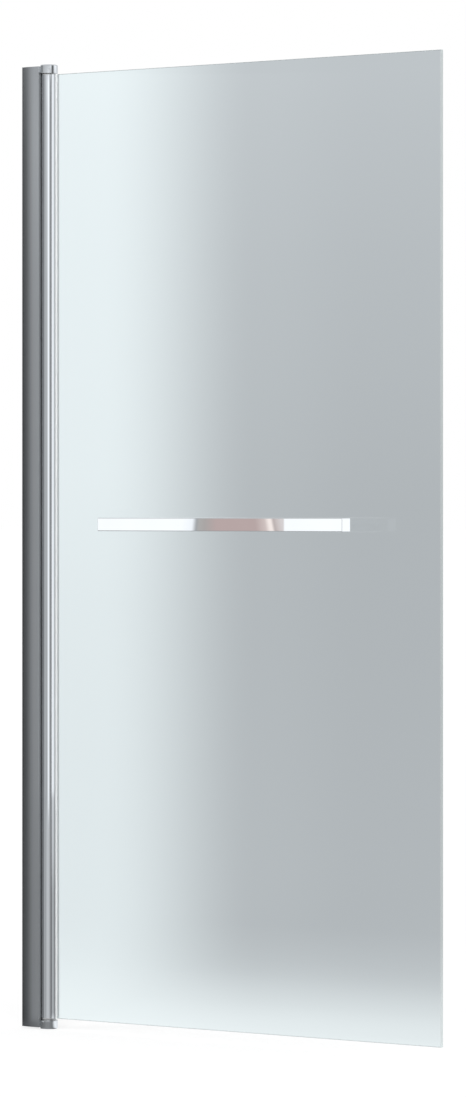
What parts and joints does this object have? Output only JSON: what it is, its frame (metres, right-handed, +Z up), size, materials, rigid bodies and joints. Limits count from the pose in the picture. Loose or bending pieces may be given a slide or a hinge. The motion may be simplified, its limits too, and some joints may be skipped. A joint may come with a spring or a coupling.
{
  "type": "pivoting bath screen",
  "caption": "Bath screen: a clear glass leaf that pivots on a slim wall profile and folds against the wall, with a square towel rail across its outside face.",
  "frame": {"origin": "on the wall plane, level with the wall profile's foot, in the middle plane of the glass", "axes": "+X out from the wall along the closed leaf, +Z up, -Y towards the outside of the bath where the towel rail is"},
  "size_m": [0.75, 0.0792, 1.405],
  "materials": {
    "satin_aluminium": "satin polished extrusion",
    "bright_chrome": "mirror bright plating",
    "clear_glass": "clear toughened glass, ground edges",
    "clear_vinyl": "clear soft vinyl",
    "grey_plastic": "moulded, fine grain",
    "seal_rubber": "soft extruded strip",
    "white_acetal": "moulded bearing plastic",
    "stainless_steel": "turned stainless steel"
  },
  "bodies": {
    "frame": {"wall_profile": "satin_aluminium", "wall_profile_top_cap": "grey_plastic", "wall_profile_bottom_cap": "grey_plastic", "hinge_carrier": "satin_aluminium", "front_wiper_seal": "seal_rubber", "rear_wiper_seal": "seal_rubber", "carrier_clamp_screws": "stainless_steel", "clamp_screw_caps": "grey_plastic", "top_bearing_block": "bright_chrome", "bottom_bearing_block": "bright_chrome", "bearing_block_screws": "stainless_steel", "top_pivot_pin": "stainless_steel", "bottom_pivot_pin": "stainless_steel", "thrust_washer": "stainless_steel"},
    "leaf": {"pivot_tube": "bright_chrome", "top_pivot_bush": "grey_plastic", "bottom_pivot_bush": "grey_plastic", "glass_panel": "clear_glass", "glazing_gasket": "clear_vinyl", "towel_bar": "bright_chrome", "towel_bar_left_cap": "bright_chrome", "towel_bar_right_cap": "bright_chrome", "left_post": "bright_chrome", "right_post": "bright_chrome", "post_grub_screws": "stainless_steel", "rail_bolts": "stainless_steel", "rail_bolt_covers": "bright_chrome", "glass_hole_sleeves": "white_acetal", "front_post_washers": "clear_vinyl", "rear_glass_washers": "clear_vinyl"}
  },
  "joints": [
    {"name": "leaf_pivot", "type": "hinge", "parent": "frame", "child": "leaf", "pos_m": [0.04, 0, 0], "axis": [0, 0, 1], "range_deg": [-80, 90]}
  ]
}
